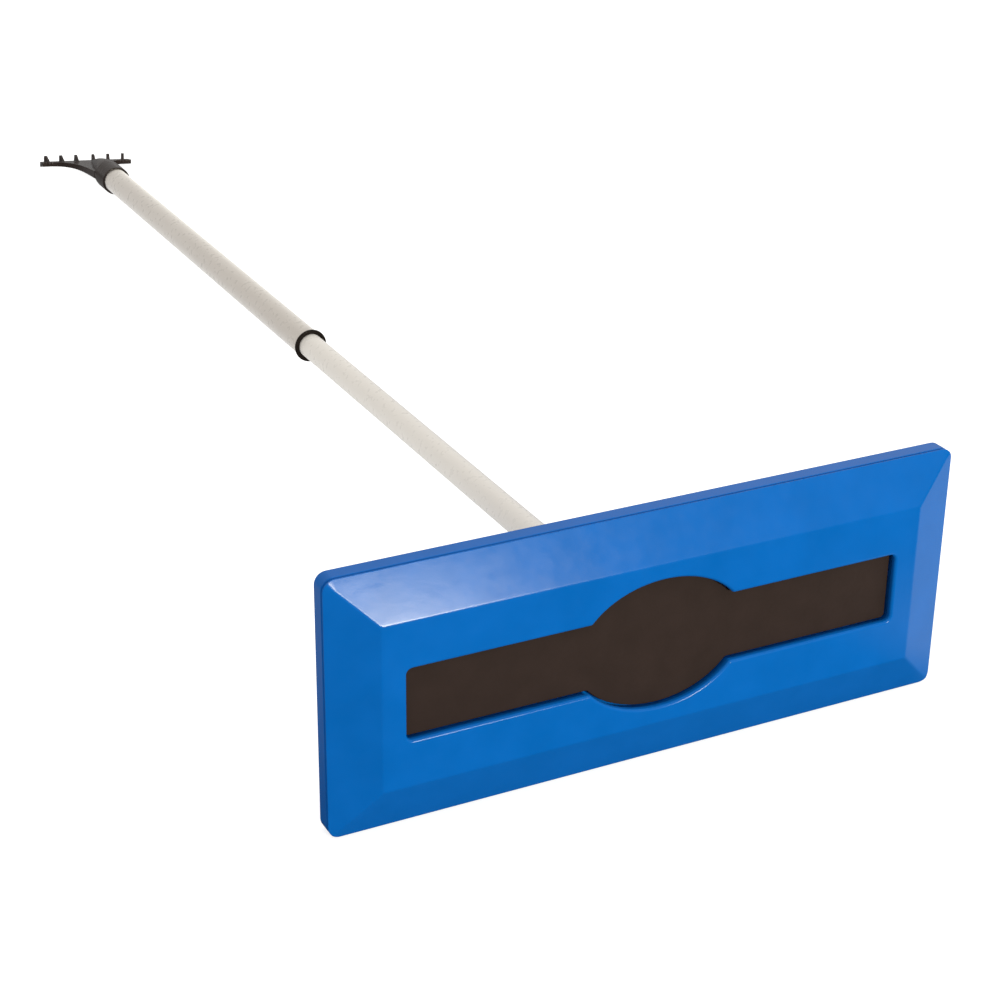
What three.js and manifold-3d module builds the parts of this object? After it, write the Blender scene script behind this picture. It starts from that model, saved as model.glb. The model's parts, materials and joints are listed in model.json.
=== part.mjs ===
// Snow rake for vehicle roofs: a broad foam head, a telescoping twist-lock pole and an ice scraper.
//
// Millimetres, +Z up. The tool is modelled along its pole: X runs across the head, Y runs along the
// pole from the head's front face towards the scraper, and Z stands up the head. At the end the
// whole tool is tipped until the head's rear bottom edge and the scraper stand on the floor Z = 0.

import * as THREE from 'three';
import * as BufferGeometryUtils from 'three/addons/utils/BufferGeometryUtils.js';
import Module from 'manifold-3d';

const wasm = await Module();
wasm.setup();

// ---------- Driving dimensions ----------

const gap = 0.3; // clearance between neighbouring pieces
const overlap = 1; // how far two solids that are joined into one run into each other
const roundSides = 40; // sides of a tube or a socket
const smallSides = 20; // sides of a screw, washer or pin
const spindleSides = 12; // sides of the lock's threaded stud

// Foam head
const headWidth = 457;
const headHeight = 179;
const headDepth = 27;
const bevelWidth = 32;
const bevelDepth = 12.6;
const lipDepth = 0.8;
const grooveDepth = 1.2;
const grooveWidth = 1.6;
const rearChamfer = 1.8;
const headCornerRadius = 8;

// Recess in the head's front, and the stiffener plate in it
const recessWidth = 360;
const recessHeight = 50;
const recessCornerRadius = 4;
const ovalHalfWidth = 62;
const ovalHalfHeight = 46;
const plateSetback = 6;
const plateThickness = 4;
const plateGap = 0.5;
const bossRadius = 4.6;
const bossLength = 14.5;
const bossHoleRadius = 5.2;

// Socket on the head's back
const flangeWidth = 100;
const flangeHeight = 66;
const flangeThickness = 4;
const flangeCornerRadius = 10;
const socketLength = 69;
const socketRootRadius = 16;
const socketMouthRadius = 14.5;
const socketFloor = 7;
const boreClearance = 0.4;
const gussetThickness = 4;
const gussetLength = 44;
const gussetSetback = 5; // from the flange's edge to the gusset's foot
const gussetToe = 3; // height of the gusset's outer end
const boltSpacingX = 76;
const boltSpacingZ = 42;
const screwShankRadius = 1.9;
const screwHoleRadius = 2.4;
const screwPilotRadius = 2.2;
const screwHeadRadius = 4;
const screwHeadHeight = 2.7;
const screwLength = 20;
const screwPointLength = 3;
const screwTipShare = 0.35; // how wide the screw's tip is beside its shank
const panHeadShares = [[1, 0.45], [0.72, 0.88], [0.3, 1]]; // a pan head beside its full size
const pilotFloor = 1.2; // plate material left in front of a screw's pilot hole
const washerRadius = 5;
const washerThickness = 0.8;

// Pole
const innerTubeRadius = 10.5;
const outerTubeRadius = 12.5;
const tubeWall = 0.9;
const bushingFace = 589.5;
const bushingFlangeRadius = 14.3;
const bushingFlangeThickness = 2;
const bushingSleeveLength = 18;
const innerTubeEnd = 622;
const outerTubeEnd = 1166;

// Snap button that holds the head's socket on the inner tube
const buttonPlace = 70;
const buttonRadius = 3.8;
const buttonTop = 15.6;
const buttonDome = 1.4;
const buttonFootRadius = 4.6;
const buttonFootTop = 7.8;
const buttonFootThickness = 1;
const springWidth = 6.4;
const springThickness = 0.6;
const springFloor = -8.7; // height of the leg that lies in the tube
const springReach = 24; // from the button back to the spring's bend

// Twist lock on the inner tube's far end
const spindleRadius = 4;
const threadPitch = 2;
const threadStarts = 2;
const threadDepth = 0.35;
const plugShankLength = 22;
const plugCollarLength = 2.7;
const spindleInset = 4; // how far inside the plug's end the spindle starts
const sleeveLength = 22.4;
const sleeveSlit = 2.4;
const sleeveThroatDepth = 4.4;
const sleeveClearance = 0.4;
const coneSlope = 4 / 18;
const coneStart = 5;
const conePlay = 0.45;
const coneTipInset = 4;
const coneOverhang = 1.4;
const coneFlangeThickness = 3;
const unlockTurn = 180;
const endWasherRadius = 7.5;
const endWasherThickness = 1;
const endNutRadius = 7;
const endNutLength = 4;

// Scraper
const scraperMouth = 1129;
const scraperSocketRadius = 14.8;
const scraperTip = 1245;
const scraperWidth = 99.6;
const scraperTurn = 4.8; // how far the scraper is turned against the head, in degrees
const noseStart = 1156; // where the socket starts to close into its nose
const noseLength = 60;
const noseFullness = 1.7; // 1 makes the nose a cone, a larger power makes it blunter
const noseNarrowing = 0.35; // how much narrower than high the nose gets towards its tip
const noseSteps = 10;
const bladeDepth = 13; // from the flare's end to the blade's edge
const bladeTop = -7.2; // height of the blade's upper face at its edge, from the pole's axis
const bladeThickness = 2.8;
const bladeLipDrop = 5.6; // how far the scraping lip turns down below the upper face
const bladeLipDepth = 9;
const bladeLipEdge = 1.2; // width of the scraping edge itself
const webRise = 0.116; // how steeply the web climbs from the blade to the socket
const undersideRise = 0.072; // how steeply the ribs' lower edges climb, so that they get deeper
const flareStart = 1160;
const flareHold = 50; // how far along the pole the flare keeps close to the socket
const flareSpread = 3; // how far out from the socket it runs before the blade
const flareTuck = 4; // how far past the blade's shoulder it dips
const flareSteps = 12;
const edgeRibWidth = 3.6;
const edgeRibRise = 0.8; // above the web's upper face
const edgeRibDrop = 0.8; // below the web's lower face
const toothCount = 6;
const toothPitch = 17;
const toothMiddlePitch = 19.6;
const toothRowOffset = -1.5;
const toothThickness = 3.2;
const toothHeight = 7.8;
const toothLength = 11;
const toothSetback = 4; // from the blade's edge to a tooth's upright face
const toothRounding = 1.2;
const toothFan = 0.35; // degrees that a tooth leans outwards for each millimetre from the middle
const scraperScrewPlace = 1156;
const scraperScrewLength = 7;
const scraperScrewHeadRadius = 3.4;
const scraperScrewHeadHeight = 2.2;

// ---------- Worked-out places ----------

const plateauWidth = headWidth - 2 * bevelWidth;
const plateauHeight = headHeight - 2 * bevelWidth;
const plateBack = plateSetback + plateThickness;
const flangeFront = headDepth + gap;
const flangeBack = flangeFront + flangeThickness;
const socketEnd = flangeBack + socketLength;
const innerTubeStart = flangeFront + socketFloor + gap;
const outerTubeStart = bushingFace + bushingFlangeThickness + gap;
const outerBore = outerTubeRadius - tubeWall;
const innerBore = innerTubeRadius - tubeWall;
const threadLead = threadPitch * threadStarts;
const coneTravel = threadLead * unlockTurn / 360;
const plugCollarStart = innerTubeEnd + gap;
const sleeveStart = plugCollarStart + plugCollarLength + 2 * gap;
const sleeveEnd = sleeveStart + sleeveLength;
const sleeveThroat = sleeveStart + sleeveThroatDepth;
const coneEnd = sleeveEnd + coneOverhang;
const coneFlangeEnd = coneEnd + coneFlangeThickness;
const endWasherStart = coneFlangeEnd + coneTravel + gap;
const endNutStart = endWasherStart + endWasherThickness + gap;
const spindleStart = innerTubeEnd - plugShankLength + spindleInset;
const spindleEnd = endNutStart + endNutLength + 1;
const bladeShoulder = scraperTip - bladeDepth;
const boltPlaces = [-1, 1].flatMap((x) =>
  [-1, 1].map((z) => [x * boltSpacingX / 2, z * boltSpacingZ / 2]));

// ---------- Materials ----------

const finish = (color, roughness, metalness = 0) =>
  new THREE.MeshStandardMaterial({ color, roughness, metalness });

const blueFoam = finish(0x016bbf, 0.55);
const darkPlate = finish(0x3a2c29, 0.7);
const blackPlastic = finish(0x201616, 0.5);
const whiteCoat = finish(0xe9e5dd, 0.35);
const zincSteel = finish(0xa9abad, 0.35, 1);
const springSteel = finish(0x8a8c90, 0.3, 1);
const paleNylon = finish(0xd8d2c0, 0.5);

// ---------- Solids ----------

// A closed geometry as a solid that can be joined and cut.
function solid(geometry) {
  const bare = geometry.index ? geometry.clone() : BufferGeometryUtils.mergeVertices(geometry);
  bare.deleteAttribute('normal');
  bare.deleteAttribute('uv');
  const merged = BufferGeometryUtils.mergeVertices(bare, 1e-4);
  const corners = merged.index.array;
  const kept = [];
  for (let i = 0; i < corners.length; i += 3) {
    const [a, b, c] = [corners[i], corners[i + 1], corners[i + 2]];
    if (a !== b && b !== c && c !== a) kept.push(a, b, c);
  }
  const mesh = new wasm.Mesh({
    numProp: 3,
    vertProperties: new Float32Array(merged.attributes.position.array),
    triVerts: new Uint32Array(kept),
  });
  return new wasm.Manifold(mesh);
}

function geometryOf(body) {
  const mesh = body.getMesh();
  const geometry = new THREE.BufferGeometry();
  geometry.setAttribute('position', new THREE.BufferAttribute(mesh.vertProperties, 3));
  geometry.setIndex(new THREE.BufferAttribute(mesh.triVerts, 1));
  return geometry;
}

const join = (...bodies) => bodies.reduce((whole, body) => whole.add(body));
const cut = (whole, ...tools) => tools.reduce((rest, tool) => rest.subtract(tool), whole);

// An outline in X and Z, drawn as (x, z), made solid from y = start to y = end.
function prism(shape, start, end, bevel = null) {
  const options = { depth: end - start, bevelEnabled: false, curveSegments: 8, ...bevel };
  const geometry = new THREE.ExtrudeGeometry(shape, options);
  geometry.rotateX(Math.PI / 2);
  geometry.translate(0, end, 0);
  return solid(geometry);
}

// A profile of [radius, y] points turned about the pole's axis.
function turned(profile, sides = roundSides) {
  const points = profile.map(([radius, y]) => new THREE.Vector2(radius, y));
  return solid(new THREE.LatheGeometry(points, sides));
}

const rod = (radius, start, end, sides = smallSides) =>
  turned([[0, start], [radius, start], [radius, end], [0, end]], sides);

const tube = (outer, inner, start, end, sides = roundSides) =>
  turned([[inner, start], [outer, start], [outer, end], [inner, end], [inner, start]], sides);

function box(width, length, height, x, y, z) {
  const geometry = new THREE.BoxGeometry(width, length, height);
  geometry.translate(x, y, z);
  return solid(geometry);
}

// An upright pin through a tube wall at a place along the pole.
function uprightRod(radius, y, low, high) {
  const geometry = new THREE.CylinderGeometry(radius, radius, high - low, smallSides);
  geometry.rotateX(Math.PI / 2);
  geometry.translate(0, y, (low + high) / 2);
  return solid(geometry);
}

// An outline in Y and Z, drawn as (y, z), made solid across X about the middle.
function fin(shape, thickness) {
  const options = { depth: thickness, bevelEnabled: false, curveSegments: 6 };
  const geometry = new THREE.ExtrudeGeometry(shape, options);
  geometry.translate(0, 0, -thickness / 2);
  geometry.applyMatrix4(new THREE.Matrix4().set(0, 0, 1, 0, 1, 0, 0, 0, 0, 1, 0, 0, 0, 0, 0, 1));
  return geometry;
}

function polygon(...points) {
  return new THREE.Shape(points.map(([x, y]) => new THREE.Vector2(x, y)));
}

function roundedRectangle(width, height, radius) {
  const [right, top] = [width / 2, height / 2];
  const shape = new THREE.Shape();
  shape.moveTo(radius - right, -top);
  shape.lineTo(right - radius, -top);
  shape.absarc(right - radius, radius - top, radius, -Math.PI / 2, 0);
  shape.lineTo(right, top - radius);
  shape.absarc(right - radius, top - radius, radius, 0, Math.PI / 2);
  shape.lineTo(radius - right, top);
  shape.absarc(radius - right, top - radius, radius, Math.PI / 2, Math.PI);
  shape.lineTo(-right, radius - top);
  shape.absarc(radius - right, radius - top, radius, Math.PI, 1.5 * Math.PI);
  return shape;
}

// ---------- Nodes ----------

const material = {
  blueFoam, darkPlate, blackPlastic, whiteCoat, zincSteel, springSteel, paleNylon,
};

function node(name, body, finishName) {
  const mesh = new THREE.Mesh(geometryOf(body), material[finishName]);
  mesh.name = name;
  return mesh;
}

// ---------- Head ----------

// The bar with an oval middle that both the recess and the plate follow, shrunk by a margin.
function barWithOval(margin, start, end) {
  const bar = roundedRectangle(
    recessWidth - 2 * margin, recessHeight - 2 * margin, recessCornerRadius);
  const oval = new THREE.Shape();
  oval.absellipse(0, 0, ovalHalfWidth - margin, ovalHalfHeight - margin, 0, 2 * Math.PI);
  return join(prism(bar, start, end), prism(oval, start, end, { curveSegments: 24 }));
}

function foamHead() {
  const lipEnd = bevelDepth + lipDepth;
  const grooveEnd = lipEnd + grooveWidth;
  const outline = (inset) => roundedRectangle(
    headWidth - 2 * inset, headHeight - 2 * inset, headCornerRadius - inset);
  const slopes = prism(
    polygon(
      [-plateauWidth / 2, -plateauHeight / 2], [plateauWidth / 2, -plateauHeight / 2],
      [plateauWidth / 2, plateauHeight / 2], [-plateauWidth / 2, plateauHeight / 2]),
    bevelDepth, headDepth + bevelDepth,
    { bevelEnabled: true, bevelThickness: bevelDepth, bevelSize: bevelWidth, bevelSegments: 1 });
  const front = slopes.intersect(prism(outline(0), 0, lipEnd));
  const waist = prism(outline(grooveDepth), lipEnd - overlap, grooveEnd + overlap);
  const rear = prism(
    outline(rearChamfer), grooveEnd + rearChamfer, headDepth - rearChamfer,
    { bevelEnabled: true, bevelThickness: rearChamfer, bevelSize: rearChamfer, bevelSegments: 1 });
  const recess = barWithOval(0, -1, plateBack + gap);
  const bossHoles = boltPlaces.map(([x, z]) =>
    rod(bossHoleRadius, plateBack, headDepth + 1).translate(x, 0, z));
  return cut(join(front, waist, rear), recess, ...bossHoles);
}

// Stiffener plate: fills the recess and carries the bosses that the socket's screws bite into.
function insertPlate() {
  const plate = barWithOval(plateGap, plateSetback, plateBack);
  const bosses = boltPlaces.map(([x, z]) =>
    rod(bossRadius, plateBack - overlap, plateBack + bossLength).translate(x, 0, z));
  const pilots = boltPlaces.map(([x, z]) =>
    rod(screwPilotRadius, plateBack + pilotFloor, plateBack + bossLength + 1).translate(x, 0, z));
  return cut(join(plate, ...bosses), ...pilots);
}

function headSocket() {
  const flange = prism(
    roundedRectangle(flangeWidth, flangeHeight, flangeCornerRadius), flangeFront, flangeBack);
  const barrel = turned([
    [0, flangeFront], [socketRootRadius, flangeFront], [socketMouthRadius, socketEnd], [0, socketEnd]]);
  const gussets = [0, 1, 2, 3].map((quarter) => {
    const reach = (quarter % 2 ? flangeHeight : flangeWidth) / 2 - gussetSetback;
    const web = polygon(
      [flangeBack - overlap, 0], [flangeBack - overlap, reach], [flangeBack + gussetToe, reach],
      [flangeBack + gussetLength, socketMouthRadius], [flangeBack + gussetLength, 0]);
    return solid(fin(web, gussetThickness)).rotate([0, 90 - 90 * quarter, 0]);
  });
  const bore = rod(innerTubeRadius + boreClearance, innerTubeStart - gap, socketEnd + 1, roundSides);
  const screwHoles = boltPlaces.map(([x, z]) =>
    rod(screwHoleRadius, flangeFront - 1, flangeBack + 1).translate(x, 0, z));
  const buttonHole = uprightRod(buttonRadius + gap, buttonPlace, 0, socketRootRadius + 1);
  return cut(join(flange, barrel, ...gussets), bore, buttonHole, ...screwHoles);
}

function panScrew(seat, shankRadius, capRadius, capHeight, length) {
  return turned([
    [0, seat - length],
    [shankRadius * screwTipShare, seat - length],
    [shankRadius, seat - length + screwPointLength],
    [shankRadius, seat],
    [capRadius, seat],
    ...panHeadShares.map(([width, height]) => [capRadius * width, seat + capHeight * height]),
    [0, seat + capHeight]], smallSides);
}

function headPieces() {
  const group = new THREE.Group();
  group.add(node('foam_head', foamHead(), 'blueFoam'));
  group.add(node('insert_plate', insertPlate(), 'darkPlate'));
  group.add(node('head_socket', headSocket(), 'blackPlastic'));
  const washerStart = flangeBack + gap;
  const screwSeat = washerStart + washerThickness + gap;
  boltPlaces.forEach(([x, z], index) => {
    const ring = tube(
      washerRadius, screwHoleRadius, washerStart, washerStart + washerThickness, smallSides);
    const screwBody = panScrew(
      screwSeat, screwShankRadius, screwHeadRadius, screwHeadHeight, screwLength);
    const washer = node(`socket_washer_${index + 1}`, ring, 'zincSteel');
    const screw = node(`socket_screw_${index + 1}`, screwBody, 'zincSteel');
    for (const piece of [washer, screw]) {
      piece.position.set(x, 0, z);
      group.add(piece);
    }
  });
  return group;
}

// ---------- Pole ----------

function innerTube() {
  const pipe = tube(innerTubeRadius, innerBore, innerTubeStart, innerTubeEnd);
  return cut(pipe, uprightRod(buttonRadius + gap, buttonPlace, 0, innerTubeRadius + 1));
}

function snapButton() {
  const stem = turned([
    [0, buttonFootTop - buttonFootThickness],
    [buttonFootRadius, buttonFootTop - buttonFootThickness],
    [buttonFootRadius, buttonFootTop],
    [buttonRadius, buttonFootTop],
    [buttonRadius, buttonTop - buttonDome],
    [buttonRadius * 0.8, buttonTop - buttonDome * 0.3],
    [buttonRadius * 0.4, buttonTop],
    [0, buttonTop]], smallSides);
  return stem.rotate([90, 0, 0]).translate(0, buttonPlace, 0);
}

// A bent strip: one leg lies in the tube, the other rises from the bend and lies under the button.
function snapSpring() {
  const top = buttonFootTop - buttonFootThickness - gap;
  const bend = buttonPlace - springReach;
  const lowerEnd = buttonPlace + buttonFootRadius + 1;
  const rampTop = buttonPlace - buttonFootRadius;
  const strip = polygon(
    [lowerEnd, springFloor],
    [lowerEnd, springFloor + springThickness],
    [bend + 2 * springThickness, springFloor + springThickness],
    [bend + 1.6 * springThickness, springFloor + 3 * springThickness],
    [rampTop, top - springThickness],
    [buttonPlace + buttonFootRadius, top - springThickness],
    [buttonPlace + buttonFootRadius, top],
    [rampTop - springThickness / 2, top],
    [bend, springFloor + 3 * springThickness],
    [bend, springFloor]);
  return solid(fin(strip, springWidth));
}

function polePieces() {
  const group = new THREE.Group();
  group.add(node('inner_tube', innerTube(), 'whiteCoat'));
  group.add(node('snap_button', snapButton(), 'zincSteel'));
  group.add(node('snap_spring', snapSpring(), 'springSteel'));
  return group;
}

// ---------- Twist lock ----------

function lockPlug() {
  const shankRadius = innerBore - gap;
  const bore = spindleRadius + gap;
  return turned([
    [bore, innerTubeEnd - plugShankLength],
    [shankRadius, innerTubeEnd - plugShankLength],
    [shankRadius, plugCollarStart],
    [innerTubeRadius - 0.1, plugCollarStart],
    [innerTubeRadius - 0.1, plugCollarStart + plugCollarLength],
    [bore, plugCollarStart + plugCollarLength],
    [bore, innerTubeEnd - plugShankLength]]);
}

// The thread is drawn as rings at its pitch.
function lockSpindle() {
  const profile = [[0, spindleStart]];
  for (let y = spindleStart; y + threadPitch < spindleEnd; y += threadPitch) {
    profile.push([spindleRadius - threadDepth, y], [spindleRadius, y + threadPitch / 2]);
  }
  profile.push([spindleRadius - threadDepth, spindleEnd], [0, spindleEnd]);
  return turned(profile, spindleSides);
}

// Split collet: it grips the outer tube's bore when the cone is drawn into it.
function expanderSleeve() {
  const outside = outerBore - sleeveClearance;
  const bore = spindleRadius + 2 * gap;
  const ring = turned([
    [bore, sleeveStart],
    [outside, sleeveStart],
    [outside, sleeveEnd],
    [coneStart + (sleeveEnd - sleeveThroat) * coneSlope, sleeveEnd],
    [coneStart, sleeveThroat],
    [bore, sleeveStart + 1],
    [bore, sleeveStart]]);
  const reach = outside + 1;
  const slit = box(sleeveSlit, sleeveLength + 2, reach, 0, (sleeveStart + sleeveEnd) / 2, reach / 2);
  return cut(ring, slit);
}

function coneNut() {
  const bore = spindleRadius + gap;
  const coneTip = sleeveThroat + coneTipInset;
  const coneRadius = (y) => coneStart + (y - sleeveThroat) * coneSlope;
  return turned([
    [bore, coneTip],
    [coneRadius(coneTip) - conePlay, coneTip],
    [coneRadius(coneEnd) - conePlay, coneEnd],
    [coneRadius(coneEnd) + gap, coneEnd],
    [coneRadius(coneEnd) + gap, coneFlangeEnd],
    [bore, coneFlangeEnd],
    [bore, coneTip]]);
}

const endWasher = () =>
  tube(endWasherRadius, spindleRadius + gap, endWasherStart, endWasherStart + endWasherThickness, smallSides);

function endNut() {
  const hexagon = rod(endNutRadius, endNutStart, endNutStart + endNutLength, 6);
  return cut(hexagon, rod(spindleRadius + gap, endNutStart - 1, endNutStart + endNutLength + 1));
}

function lockPieces() {
  const group = new THREE.Group();
  group.add(node('lock_plug', lockPlug(), 'blackPlastic'));
  group.add(node('lock_spindle', lockSpindle(), 'zincSteel'));
  group.add(node('expander_sleeve', expanderSleeve(), 'paleNylon'));
  group.add(node('cone_nut', coneNut(), 'blackPlastic'));
  group.add(node('spindle_washer', endWasher(), 'zincSteel'));
  group.add(node('spindle_nut', endNut(), 'zincSteel'));
  return group;
}

// ---------- Outer pole and scraper ----------

function outerTube() {
  const pipe = tube(outerTubeRadius, outerBore, outerTubeStart, outerTubeEnd);
  return cut(pipe, uprightRod(screwPilotRadius, scraperScrewPlace, -outerTubeRadius - 1, 0));
}

function tubeBushing() {
  const bore = innerTubeRadius + gap;
  const sleeve = outerBore - gap;
  const flangeBackFace = bushingFace + bushingFlangeThickness;
  return turned([
    [bore, bushingFace],
    [bushingFlangeRadius - 0.5, bushingFace],
    [bushingFlangeRadius, bushingFace + 0.5],
    [bushingFlangeRadius, flangeBackFace],
    [sleeve, flangeBackFace],
    [sleeve, flangeBackFace + bushingSleeveLength],
    [bore, flangeBackFace + bushingSleeveLength],
    [bore, bushingFace]]);
}

// The scraper's outline, seen from above: it flares from the socket to the blade's ends.
const flare = new THREE.CubicBezierCurve(
  new THREE.Vector2(scraperSocketRadius, flareStart),
  new THREE.Vector2(scraperSocketRadius, flareStart + flareHold),
  new THREE.Vector2(scraperSocketRadius + flareSpread, bladeShoulder + flareTuck),
  new THREE.Vector2(scraperWidth / 2, bladeShoulder));

// Moves each point of a geometry.
function moved(geometry, change) {
  const places = geometry.attributes.position;
  for (let i = 0; i < places.count; i += 1) {
    places.setXYZ(i, ...change(places.getX(i), places.getY(i), places.getZ(i)));
  }
  return geometry;
}

// A flat outline in X and Y made solid between two heights above the blade's upper face. Both faces
// climb towards the socket, so that the web meets the socket at half its height.
function sloping(shape, low, high, lowRise = webRise) {
  const slab = new THREE.ExtrudeGeometry(shape, { depth: 1, bevelEnabled: false });
  return solid(moved(slab, (x, y, z) => {
    const level = z > 0.5 ? high + webRise * (scraperTip - y) : low + lowRise * (scraperTip - y);
    return [x, y, bladeTop + level];
  }));
}

// The web between the ribs, and a rib along each side of it.
function scraperWeb() {
  const edge = flare.getPoints(flareSteps).map((point) => [point.x, point.y]);
  const mirrored = edge.map(([x, y]) => [-x, y]).reverse();
  const half = scraperWidth / 2;
  const lipStart = scraperTip - bladeLipDepth / 2;
  const web = sloping(
    polygon(...edge, [half, lipStart], [-half, lipStart], ...mirrored), -bladeThickness, 0);
  const ribs = [1, -1].map((side) => {
    const outside = edge.map(([x, y]) => [side * x, y]);
    const inside = edge.map(([x, y], index) => {
      const along = flare.getTangent(index / flareSteps);
      return [side * (x - edgeRibWidth * along.y), y + edgeRibWidth * along.x];
    }).reverse();
    const outline = polygon(...outside, ...inside);
    return sloping(outline, -bladeThickness - edgeRibDrop, edgeRibRise, undersideRise);
  });
  return join(web, ...ribs);
}

// The blade's edge, turned down into a scraping lip across the whole width.
function scraperLip() {
  const lip = polygon(
    [-bladeLipDepth, webRise * bladeLipDepth], [0, 0], [0, -bladeLipDrop],
    [-bladeLipEdge, -bladeLipDrop], [-bladeLipDepth, -bladeThickness]);
  return solid(fin(lip, scraperWidth)).translate(0, scraperTip, bladeTop);
}

// A row of fins that chip ice, leaning outwards to the blade's ends.
function scraperTeeth() {
  return Array.from({ length: toothCount }, (_, index) => {
    const step = index - (toothCount - 1) / 2;
    const across = step * toothPitch + Math.sign(step) * (toothMiddlePitch - toothPitch) / 2;
    const profile = new THREE.Shape();
    profile.moveTo(0, -bladeThickness / 2);
    profile.lineTo(0, toothHeight - toothRounding);
    profile.absarc(-toothRounding, toothHeight - toothRounding, toothRounding, 0, Math.PI / 2);
    profile.lineTo(-2 * toothRounding, toothHeight);
    profile.lineTo(-toothLength, edgeRibRise);
    profile.lineTo(-toothLength, -bladeThickness / 2);
    return solid(fin(profile, toothThickness))
      .rotate([0, 0, -toothFan * across])
      .translate(across + toothRowOffset, scraperTip - toothSetback, bladeTop);
  });
}

// The socket that holds the tube, closed by a nose that runs out between the web's two halves.
function scraperSocket() {
  const profile = [
    [0, scraperMouth],
    [scraperSocketRadius - boreClearance, scraperMouth],
    [scraperSocketRadius, scraperMouth + 1]];
  for (let step = 0; step < noseSteps; step += 1) {
    const share = step / noseSteps;
    profile.push([
      scraperSocketRadius * (1 - share ** noseFullness), noseStart + share * noseLength]);
  }
  profile.push([0, noseStart + noseLength]);
  const points = profile.map(([radius, y]) => new THREE.Vector2(radius, y));
  return solid(moved(new THREE.LatheGeometry(points, roundSides), (x, y, z) => {
    const share = Math.max(0, (y - noseStart) / noseLength);
    return [x * (1 - noseNarrowing * share), y, z];
  }));
}

function scraper() {
  const bore = rod(outerTubeRadius + gap, scraperMouth - 1, outerTubeEnd + gap, roundSides);
  const screwHole = uprightRod(screwPilotRadius, scraperScrewPlace, -scraperSocketRadius - 1, 0);
  const whole = join(scraperWeb(), scraperLip(), scraperSocket(), ...scraperTeeth());
  return cut(whole, bore, screwHole);
}

function scraperScrew() {
  return panScrew(
    0, screwShankRadius, scraperScrewHeadRadius, scraperScrewHeadHeight, scraperScrewLength)
    .rotate([-90, 0, 0])
    .translate(0, scraperScrewPlace, -scraperSocketRadius - gap);
}

function outerPolePieces() {
  const group = new THREE.Group();
  group.add(node('outer_tube', outerTube(), 'whiteCoat'));
  group.add(node('tube_bushing', tubeBushing(), 'blackPlastic'));
  group.add(node('scraper', scraper(), 'blackPlastic'));
  group.add(node('scraper_screw', scraperScrew(), 'zincSteel'));
  group.rotation.y = THREE.MathUtils.degToRad(scraperTurn);
  return group;
}

// ---------- The tool at rest ----------

// The tilt at which the tool stands on the head's rear bottom edge and on the scraper: tipping about
// that edge stops at the first point of the scraper that meets the floor.
function restTilt(scraperMesh) {
  const edge = { y: headDepth - rearChamfer, z: -headHeight / 2 };
  const places = scraperMesh.geometry.attributes.position;
  const point = new THREE.Vector3();
  let tilt = Infinity;
  for (let i = 0; i < places.count; i += 1) {
    point.fromBufferAttribute(places, i).applyMatrix4(scraperMesh.matrixWorld);
    tilt = Math.min(tilt, Math.atan2(point.z - edge.z, point.y - edge.y));
  }
  return tilt;
}

const tool = new THREE.Group();
tool.add(headPieces(), polePieces(), lockPieces(), outerPolePieces());
tool.updateMatrixWorld(true);
tool.rotation.x = -restTilt(tool.getObjectByName('scraper'));

const snowRake = new THREE.Group();
snowRake.add(tool);
snowRake.updateMatrixWorld(true);
const extent = new THREE.Box3().setFromObject(snowRake, true);
tool.position.set(
  -(extent.min.x + extent.max.x) / 2, -(extent.min.y + extent.max.y) / 2, -extent.min.z);
snowRake.updateMatrixWorld(true);

export default snowRake;
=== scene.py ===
"""Snow rake for vehicle roofs: the fine surfaces, finishes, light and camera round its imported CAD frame.

Shapes are drawn in millimetres in the tool's own frame: X across the head, Y along the pole from the
head's front face towards the scraper, Z up the head. TO_ROW takes them to the row frame, in metres.
"""

import json
import math

import bmesh
import bpy
from mathutils import Matrix, Vector


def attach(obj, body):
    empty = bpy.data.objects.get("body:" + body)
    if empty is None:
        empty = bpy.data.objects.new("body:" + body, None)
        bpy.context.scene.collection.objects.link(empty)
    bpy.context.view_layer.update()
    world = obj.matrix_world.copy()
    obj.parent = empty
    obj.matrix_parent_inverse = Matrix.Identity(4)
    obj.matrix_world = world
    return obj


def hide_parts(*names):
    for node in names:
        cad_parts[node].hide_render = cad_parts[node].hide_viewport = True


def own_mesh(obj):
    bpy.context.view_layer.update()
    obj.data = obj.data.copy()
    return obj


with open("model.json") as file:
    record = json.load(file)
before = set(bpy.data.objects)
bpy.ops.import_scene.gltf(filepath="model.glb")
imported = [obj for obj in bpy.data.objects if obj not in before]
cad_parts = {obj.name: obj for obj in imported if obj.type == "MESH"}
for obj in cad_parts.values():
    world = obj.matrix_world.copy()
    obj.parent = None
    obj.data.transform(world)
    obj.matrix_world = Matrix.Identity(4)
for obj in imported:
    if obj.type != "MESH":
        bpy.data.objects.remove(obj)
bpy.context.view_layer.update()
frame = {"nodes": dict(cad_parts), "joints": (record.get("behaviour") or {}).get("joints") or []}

# ---------- The tool's own frame ----------

MM = 0.001
TWIST_PLACE = 625.0  # the twist joint's place along the pole

twist = next(joint for joint in frame["joints"] if joint["name"] == "pole_twist")
along = Vector(twist["axis"]).normalized()
across = Vector((1, 0, 0))
upward = across.cross(along)
TOOL = Matrix((across, along, upward)).transposed().to_4x4()
TOOL.translation = Vector(twist["pos_m"]) - along * TWIST_PLACE * MM
TO_ROW = TOOL @ Matrix.Scale(MM, 4)

SCRAPER_TURN = math.radians(4.8)  # the scraper is turned this much about the pole against the head
TURNED = TO_ROW @ Matrix.Rotation(SCRAPER_TURN, 4, "Y")


def extent(node, place=TO_ROW):
    """A CAD node's lowest and highest corners in the tool's frame, in millimetres."""
    back = place.inverted()
    points = [back @ vertex.co for vertex in frame["nodes"][node].data.vertices]
    low = Vector([min(point[axis] for point in points) for axis in range(3)])
    high = Vector([max(point[axis] for point in points) for axis in range(3)])
    return low, high


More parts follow.
